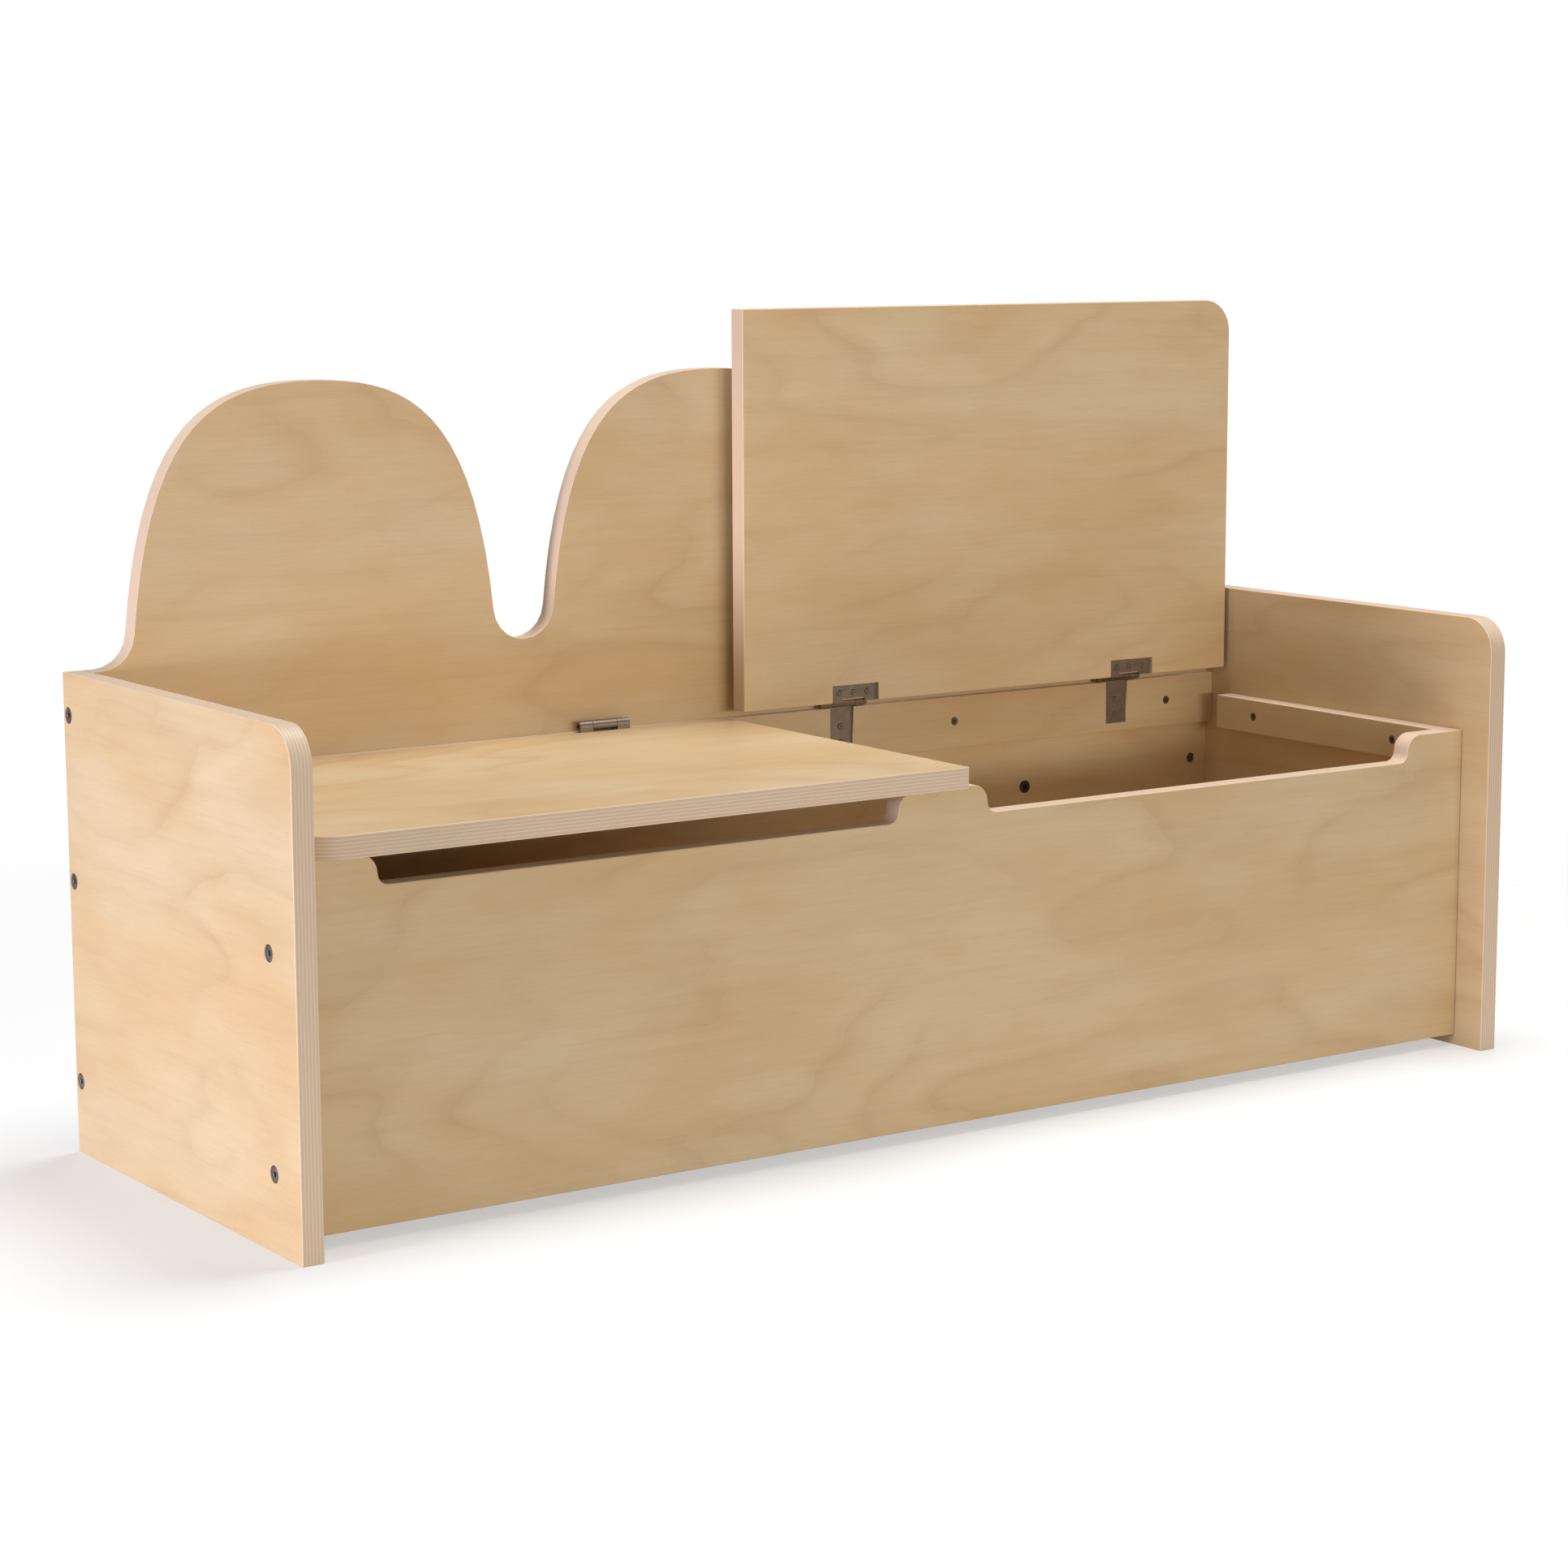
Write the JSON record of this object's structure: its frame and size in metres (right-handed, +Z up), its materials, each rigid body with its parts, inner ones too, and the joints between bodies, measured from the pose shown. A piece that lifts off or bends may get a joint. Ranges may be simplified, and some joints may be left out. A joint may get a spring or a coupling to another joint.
{
  "type": "storage bench",
  "caption": "Low plywood storage bench for children: a box seat under two hinged lids, with a hump-topped back panel and finger notches in the front.",
  "frame": {"origin": "on the floor, under the middle of the bench", "axes": "+X along the seat to the sitter's left, +Y from the front to the back, +Z up"},
  "size_m": [1.2, 0.4, 0.6685],
  "materials": {
    "birch_plywood": "clear satin lacquer over pale birch face veneer, with the plies showing on every edge",
    "hinge_steel": "satin grey",
    "pin_steel": "dark oiled steel",
    "bolt_steel": "dull zinc plate",
    "zinc_steel": "zinc plate",
    "dark_fitting": "dark brown matt"
  },
  "bodies": {
    "bench": {"back_panel": "birch_plywood", "barrel_nut_left_back_bottom": "zinc_steel", "barrel_nut_left_back_middle": "zinc_steel", "barrel_nut_left_back_top": "zinc_steel", "barrel_nut_left_front_bottom": "zinc_steel", "barrel_nut_left_front_middle": "zinc_steel", "barrel_nut_right_back_bottom": "zinc_steel", "barrel_nut_right_back_middle": "zinc_steel", "barrel_nut_right_back_top": "zinc_steel", "barrel_nut_right_front_bottom": "zinc_steel", "barrel_nut_right_front_middle": "zinc_steel", "batten_back": "birch_plywood", "batten_front": "birch_plywood", "batten_screw_back_1": "zinc_steel", "batten_screw_back_2": "zinc_steel", "batten_screw_back_3": "zinc_steel", "batten_screw_front_1": "zinc_steel", "batten_screw_front_2": "zinc_steel", "batten_screw_front_3": "zinc_steel", "bolt_left_back_bottom": "bolt_steel", "bolt_left_back_middle": "bolt_steel", "bolt_left_back_top": "bolt_steel", "bolt_left_front_bottom": "bolt_steel", "bolt_left_front_middle": "bolt_steel", "bolt_right_back_bottom": "bolt_steel", "bolt_right_back_middle": "bolt_steel", "bolt_right_back_top": "bolt_steel", "bolt_right_front_bottom": "bolt_steel", "bolt_right_front_middle": "bolt_steel", "bottom_panel": "birch_plywood", "cleat_screw_left_back": "zinc_steel", "cleat_screw_left_front": "zinc_steel", "cleat_screw_right_back": "zinc_steel", "cleat_screw_right_front": "zinc_steel", "end_cleat_left": "birch_plywood", "end_cleat_right": "birch_plywood", "front_panel": "birch_plywood", "hinge_left_inner_pin": "pin_steel", "hinge_left_inner_rail_leaf": "hinge_steel", "hinge_left_outer_pin": "pin_steel", "hinge_left_outer_rail_leaf": "hinge_steel", "hinge_rail": "birch_plywood", "hinge_right_inner_pin": "pin_steel", "hinge_right_inner_rail_leaf": "hinge_steel", "hinge_right_outer_pin": "pin_steel", "hinge_right_outer_rail_leaf": "hinge_steel", "rail_screw_left_inner": "zinc_steel", "rail_screw_left_outer": "zinc_steel", "rail_screw_right_inner": "zinc_steel", "rail_screw_right_outer": "zinc_steel", "side_panel_left": "birch_plywood", "side_panel_right": "birch_plywood", "wall_washer_left": "dark_fitting", "wall_washer_right": "dark_fitting"},
    "lid_left": {"lid_left": "birch_plywood", "hinge_left_outer_lid_leaf": "hinge_steel", "hinge_left_inner_lid_leaf": "hinge_steel"},
    "lid_right": {"lid_right": "birch_plywood", "hinge_right_outer_lid_leaf": "hinge_steel", "hinge_right_inner_lid_leaf": "hinge_steel"}
  },
  "joints": [
    {"name": "lid_left_hinge", "type": "hinge", "parent": "bench", "child": "lid_left", "pos_m": [0, 0.173, 0.313], "axis": [-1, 0, 0], "range_deg": [0, 92]},
    {"name": "lid_right_hinge", "type": "hinge", "parent": "bench", "child": "lid_right", "pos_m": [0, 0.173, 0.313], "axis": [1, 0, 0], "range_deg": [-2, 90]}
  ]
}
